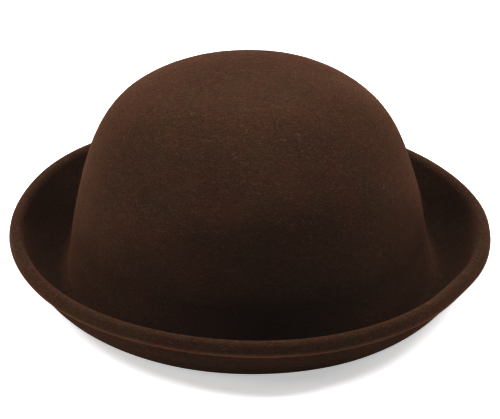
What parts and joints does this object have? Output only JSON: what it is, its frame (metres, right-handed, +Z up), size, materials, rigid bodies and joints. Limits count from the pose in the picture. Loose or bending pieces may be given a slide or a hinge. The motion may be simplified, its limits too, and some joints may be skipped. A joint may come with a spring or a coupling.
{
  "type": "bowler hat",
  "caption": "Brown felt bowler hat with a rounded crown, a curled brim with a rolled edge, and a lined inside with a leather sweatband.",
  "frame": {"origin": "centre of the hat on the plane that it stands on, under the brim's break", "axes": "+Z up through the crown, -Y towards the front, +X towards the wearer's left"},
  "size_m": [0.2322, 0.2608, 0.0952],
  "materials": {
    "felt": "dark brown wool felt, brushed, with a short nap",
    "wire": "cotton-covered millinery wire",
    "lining": "brown satin",
    "leather": "thin brown skiver leather",
    "reed": "plain plastic rod",
    "tape": "woven cotton tape",
    "thread": "brown cotton thread",
    "ribbon": "ribbed grosgrain",
    "label": "plain woven label, blank"
  },
  "bodies": {
    "root": {"felt_body": "felt", "brim_wire": "wire", "lining_tip": "lining", "lining_side": "lining", "sweatband": "leather", "sweatband_reed": "reed", "reed_tape": "tape", "reed_stitching": "thread", "sweatband_stitching": "thread", "back_bow": "ribbon", "bow_wrap": "ribbon", "size_label": "label", "care_label": "label"}
  },
  "joints": []
}
